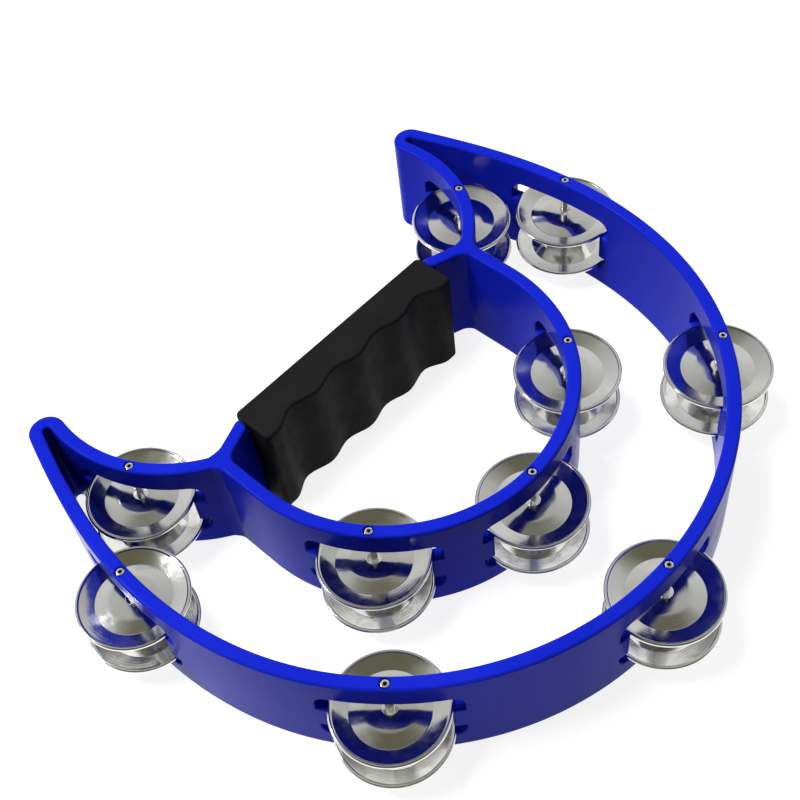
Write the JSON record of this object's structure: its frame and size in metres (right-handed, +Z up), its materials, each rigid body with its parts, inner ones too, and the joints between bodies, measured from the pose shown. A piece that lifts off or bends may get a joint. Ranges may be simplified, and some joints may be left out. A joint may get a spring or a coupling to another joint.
{
  "type": "tambourine",
  "caption": "Half-moon hand tambourine: one-piece plastic hoop and inner ring, finger-grooved grip, and pairs of steel jingles that slide on pins in slots.",
  "frame": {"origin": "on the plane that the lower rims rest on, under the middle of the whole outline", "axes": "+X runs along the grip, -Y points from the grip to the crown of the outer hoop, +Z is up out of the open side that shows the pins' ends"},
  "size_m": [0.292, 0.243, 0.0486],
  "materials": {
    "frame_plastic": "glossy moulded royal blue",
    "grip_rubber": "matte black, fine moulded grain",
    "jingle_steel": "bright nickel plate on pressed steel",
    "pin_steel": "plain drawn steel"
  },
  "bodies": {
    "root": {"frame": "frame_plastic", "grip_sleeve": "grip_rubber", "pin_hoop_crown": "pin_steel", "pin_hoop_front_right": "pin_steel", "pin_hoop_front_left": "pin_steel", "pin_hoop_rear_right": "pin_steel", "pin_hoop_rear_left": "pin_steel", "pin_ring_crown": "pin_steel", "pin_ring_right": "pin_steel", "pin_ring_left": "pin_steel", "pin_horn_right": "pin_steel", "pin_horn_left": "pin_steel"},
    "jingle_upper_hoop_crown": {"jingle_upper_hoop_crown": "jingle_steel"},
    "jingle_lower_hoop_crown": {"jingle_lower_hoop_crown": "jingle_steel"},
    "jingle_upper_hoop_front_right": {"jingle_upper_hoop_front_right": "jingle_steel"},
    "jingle_lower_hoop_front_right": {"jingle_lower_hoop_front_right": "jingle_steel"},
    "jingle_upper_hoop_front_left": {"jingle_upper_hoop_front_left": "jingle_steel"},
    "jingle_lower_hoop_front_left": {"jingle_lower_hoop_front_left": "jingle_steel"},
    "jingle_upper_hoop_rear_right": {"jingle_upper_hoop_rear_right": "jingle_steel"},
    "jingle_lower_hoop_rear_right": {"jingle_lower_hoop_rear_right": "jingle_steel"},
    "jingle_upper_hoop_rear_left": {"jingle_upper_hoop_rear_left": "jingle_steel"},
    "jingle_lower_hoop_rear_left": {"jingle_lower_hoop_rear_left": "jingle_steel"},
    "jingle_upper_ring_crown": {"jingle_upper_ring_crown": "jingle_steel"},
    "jingle_lower_ring_crown": {"jingle_lower_ring_crown": "jingle_steel"},
    "jingle_upper_ring_right": {"jingle_upper_ring_right": "jingle_steel"},
    "jingle_lower_ring_right": {"jingle_lower_ring_right": "jingle_steel"},
    "jingle_upper_ring_left": {"jingle_upper_ring_left": "jingle_steel"},
    "jingle_lower_ring_left": {"jingle_lower_ring_left": "jingle_steel"},
    "jingle_upper_horn_right": {"jingle_upper_horn_right": "jingle_steel"},
    "jingle_lower_horn_right": {"jingle_lower_horn_right": "jingle_steel"},
    "jingle_upper_horn_left": {"jingle_upper_horn_left": "jingle_steel"},
    "jingle_lower_horn_left": {"jingle_lower_horn_left": "jingle_steel"}
  },
  "joints": [
    {"name": "upper_hoop_crown", "type": "slide", "parent": "root", "child": "jingle_upper_hoop_crown", "axis": [0, 0, 1], "range_m": [0, 0.0069]},
    {"name": "lower_hoop_crown", "type": "slide", "parent": "root", "child": "jingle_lower_hoop_crown", "axis": [0, 0, 1], "range_m": [0, 0.0034]},
    {"name": "upper_hoop_front_right", "type": "slide", "parent": "root", "child": "jingle_upper_hoop_front_right", "axis": [0, 0, 1], "range_m": [0, 0.0069]},
    {"name": "lower_hoop_front_right", "type": "slide", "parent": "root", "child": "jingle_lower_hoop_front_right", "axis": [0, 0, 1], "range_m": [0, 0.0034]},
    {"name": "upper_hoop_front_left", "type": "slide", "parent": "root", "child": "jingle_upper_hoop_front_left", "axis": [0, 0, 1], "range_m": [0, 0.0069]},
    {"name": "lower_hoop_front_left", "type": "slide", "parent": "root", "child": "jingle_lower_hoop_front_left", "axis": [0, 0, 1], "range_m": [0, 0.0034]},
    {"name": "upper_hoop_rear_right", "type": "slide", "parent": "root", "child": "jingle_upper_hoop_rear_right", "axis": [0, 0, 1], "range_m": [0, 0.0069]},
    {"name": "lower_hoop_rear_right", "type": "slide", "parent": "root", "child": "jingle_lower_hoop_rear_right", "axis": [0, 0, 1], "range_m": [0, 0.0034]},
    {"name": "upper_hoop_rear_left", "type": "slide", "parent": "root", "child": "jingle_upper_hoop_rear_left", "axis": [0, 0, 1], "range_m": [0, 0.0069]},
    {"name": "lower_hoop_rear_left", "type": "slide", "parent": "root", "child": "jingle_lower_hoop_rear_left", "axis": [0, 0, 1], "range_m": [0, 0.0034]},
    {"name": "upper_ring_crown", "type": "slide", "parent": "root", "child": "jingle_upper_ring_crown", "axis": [0, 0, 1], "range_m": [0, 0.0069]},
    {"name": "lower_ring_crown", "type": "slide", "parent": "root", "child": "jingle_lower_ring_crown", "axis": [0, 0, 1], "range_m": [0, 0.0034]},
    {"name": "upper_ring_right", "type": "slide", "parent": "root", "child": "jingle_upper_ring_right", "axis": [0, 0, 1], "range_m": [0, 0.0069]},
    {"name": "lower_ring_right", "type": "slide", "parent": "root", "child": "jingle_lower_ring_right", "axis": [0, 0, 1], "range_m": [0, 0.0034]},
    {"name": "upper_ring_left", "type": "slide", "parent": "root", "child": "jingle_upper_ring_left", "axis": [0, 0, 1], "range_m": [0, 0.0069]},
    {"name": "lower_ring_left", "type": "slide", "parent": "root", "child": "jingle_lower_ring_left", "axis": [0, 0, 1], "range_m": [0, 0.0034]},
    {"name": "upper_horn_right", "type": "slide", "parent": "root", "child": "jingle_upper_horn_right", "axis": [0, 0, 1], "range_m": [0, 0.0069]},
    {"name": "lower_horn_right", "type": "slide", "parent": "root", "child": "jingle_lower_horn_right", "axis": [0, 0, 1], "range_m": [0, 0.0034]},
    {"name": "upper_horn_left", "type": "slide", "parent": "root", "child": "jingle_upper_horn_left", "axis": [0, 0, 1], "range_m": [0, 0.0069]},
    {"name": "lower_horn_left", "type": "slide", "parent": "root", "child": "jingle_lower_horn_left", "axis": [0, 0, 1], "range_m": [0, 0.0034]}
  ]
}
